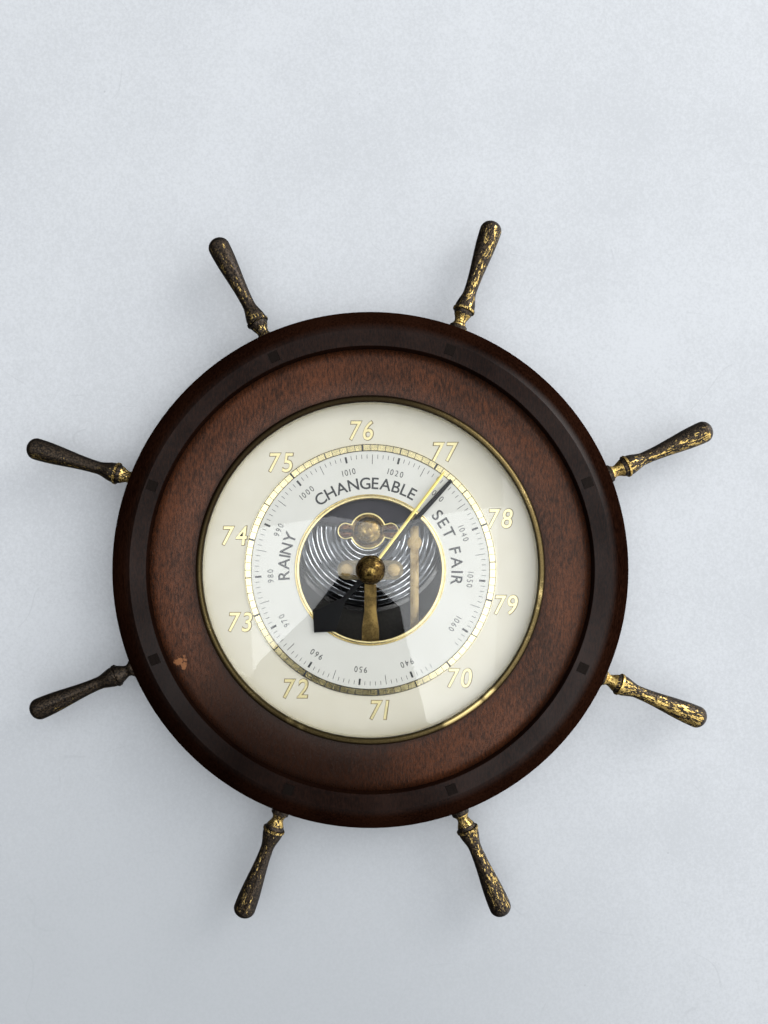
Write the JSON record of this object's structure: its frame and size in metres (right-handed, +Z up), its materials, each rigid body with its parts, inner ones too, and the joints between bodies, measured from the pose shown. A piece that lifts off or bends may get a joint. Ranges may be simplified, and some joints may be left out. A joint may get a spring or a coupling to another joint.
{
  "type": "aneroid wall barometer",
  "caption": "Aneroid wall barometer in a turned wooden wheel with metal handles; domed glass, visible movement, a pressure hand and a hand set by a knob.",
  "frame": {"origin": "centre of the hanger's hole, in the plane of the wall", "axes": "+Y points from the dial into the wall and runs along the hanger's hole, +Z points up the wall, +X points right as seen from the front; the dial faces -Y"},
  "size_m": [0.2783, 0.0376, 0.2828],
  "materials": {
    "dark_wood": "semi-gloss dark stain",
    "peg_wood": "satin",
    "red_wood": "satin varnish",
    "handle_brass": "worn, dark patina",
    "bezel_brass": "aged",
    "clear_glass": "clear, domed",
    "seat_enamel": "matte",
    "dial_enamel": "matte cream",
    "scale_enamel": "matte white",
    "gold_ring": "gold lacquer",
    "gilt": "polished gilt",
    "case_brass": "dull",
    "black_plate": "matte black",
    "screw_steel": "turned",
    "nickel": "nickelled, dull",
    "dark_steel": "blued, dark",
    "movement_brass": "lacquered",
    "black_paint": "satin black",
    "gold_hand": "polished",
    "knob_brass": "polished, aged"
  },
  "bodies": {
    "frame": {"rim_ring": "dark_wood", "face_ring": "red_wood", "rim_pegs": "peg_wood", "handle_1": "handle_brass", "handle_2": "handle_brass", "handle_3": "handle_brass", "handle_4": "handle_brass", "handle_5": "handle_brass", "handle_6": "handle_brass", "handle_7": "handle_brass", "handle_8": "handle_brass", "bezel": "bezel_brass", "glass": "clear_glass", "glass_seat": "seat_enamel", "dial_plate": "dial_enamel", "scale_ring": "scale_enamel", "graduation_ring": "gold_ring", "opening_ring": "gilt", "case_can": "case_brass", "base_plate": "black_plate", "movement_screws": "screw_steel", "case_clips": "screw_steel", "clip_screws": "screw_steel", "hanger_plate": "case_brass", "hanger_screws": "screw_steel", "capsule_front": "nickel", "capsule_back": "nickel", "spring_bridge": "black_plate", "spring_pivots": "movement_brass", "rocker_bracket": "movement_brass", "bracket_screws": "screw_steel", "hairspring_stud": "movement_brass", "arbor_strap": "movement_brass", "cock_plate": "movement_brass", "lower_cock": "movement_brass", "cock_pillars": "movement_brass"},
    "pressure_hand_set": {"hand_arbor": "movement_brass", "pressure_hand": "black_paint", "hairspring": "dark_steel"},
    "lever": {"mainspring": "dark_steel", "dome_plate": "movement_brass", "dome_nut": "movement_brass", "plate_screws": "movement_brass", "capsule_post": "movement_brass", "main_lever": "movement_brass", "lever_rivets": "movement_brass", "lever_link": "screw_steel"},
    "rocker": {"rocker_shaft": "movement_brass", "rocker_fork": "movement_brass", "rocker_crank_fork": "movement_brass"},
    "chain": {"chain": "dark_steel"},
    "setting_hand_set": {"set_hand": "gold_hand", "set_spindle": "movement_brass", "set_knob": "knob_brass"},
    "adjuster": {"adjust_screw": "movement_brass"}
  },
  "joints": [
    {"name": "pressure_hand_turn", "type": "hinge", "parent": "frame", "child": "pressure_hand_set", "pos_m": [0, -0.0216, -0.0766], "axis": [0, 1, 0], "range_deg": [-243, 81], "stiffness_Nm_per_rad": 0.001},
    {"name": "rocker_swing", "type": "hinge", "parent": "frame", "child": "rocker", "pos_m": [0, -0.007, -0.1106], "axis": [1, 0, 0], "range_deg": [-9, 26]},
    {"name": "lever_swing", "type": "hinge", "parent": "frame", "child": "lever", "pos_m": [0, -0.0126, -0.0356], "axis": [1, 0, 0], "range_deg": [-1.1, 0.4]},
    {"name": "chain_slide", "type": "slide", "parent": "frame", "child": "chain", "axis": [0, 0, 1], "range_m": [-0.0028, 0.00095]},
    {"name": "setting_hand_turn", "type": "hinge", "parent": "frame", "child": "setting_hand_set", "pos_m": [0, -0.0231, -0.0766], "axis": [0, 1, 0], "continuous": true},
    {"name": "adjuster_turn", "type": "hinge", "parent": "frame", "child": "adjuster", "pos_m": [-0.0009, -0.0033, -0.0608], "axis": [0, 1, 0], "range_deg": [-180, 180]}
  ],
  "couplings": [
    {"joint": "rocker_swing", "follows": "pressure_hand_turn", "ratio": -0.10484},
    {"joint": "lever_swing", "follows": "pressure_hand_turn", "ratio": 0.0043683},
    {"joint": "chain_slide", "follows": "pressure_hand_turn", "m_per_rad": 0.00065}
  ]
}
